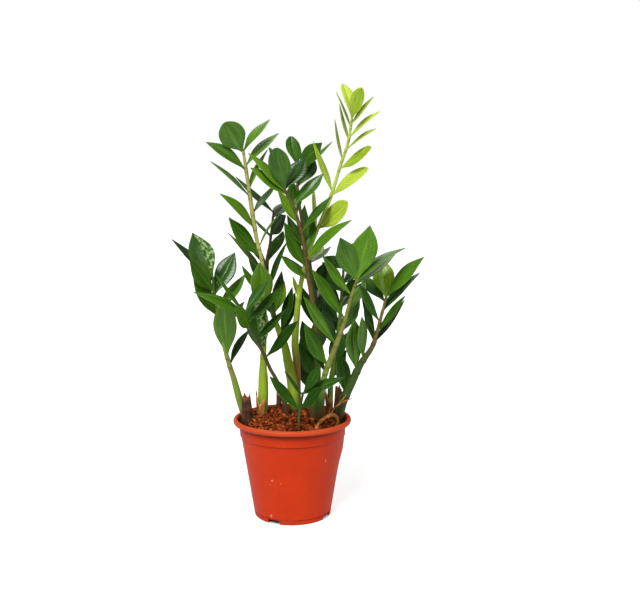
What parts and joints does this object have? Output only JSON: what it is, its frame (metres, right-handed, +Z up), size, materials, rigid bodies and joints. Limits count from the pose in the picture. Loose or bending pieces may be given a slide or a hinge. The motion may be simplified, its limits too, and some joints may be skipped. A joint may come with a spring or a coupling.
{
  "type": "potted zz plant",
  "caption": "Upright ZZ plant with fleshy stalks and paired glossy leaflets, rooted in granular soil in a round tapered nursery pot with a rolled rim.",
  "frame": {"origin": "middle of the pot's flat foot, on the surface it stands on", "axes": "+Z up along the pot's axis; -Y is the side that the picture shows, +X to its right"},
  "size_m": [0.3511, 0.2022, 0.6143],
  "materials": {
    "pot_plastic": "satin moulded plastic, orange-red",
    "soil": "damp granular bark and peat mix, reddish brown",
    "young_leaf": "glossy, light yellow-green",
    "leaf": "glossy, deep green with lighter midribs and stalks",
    "dry_stalk": "dry fibrous, dark brown",
    "dry_sheath": "dry papery, tan to reddish brown"
  },
  "bodies": {
    "root": {"pot": "pot_plastic", "soil": "soil", "frond_young": "young_leaf", "frond_tall_left": "leaf", "frond_low_left": "leaf", "frond_front_left": "leaf", "frond_front_small": "leaf", "frond_back_left": "leaf", "frond_centre": "leaf", "frond_back_centre": "leaf", "frond_front_right": "leaf", "frond_right": "leaf", "frond_back_right": "leaf", "stump_left": "dry_stalk", "stump_centre": "dry_stalk", "stump_right": "dry_stalk", "sheath_left": "dry_sheath", "sheath_right": "dry_sheath", "bark_chip": "dry_sheath", "dry_root": "dry_sheath"}
  },
  "joints": []
}
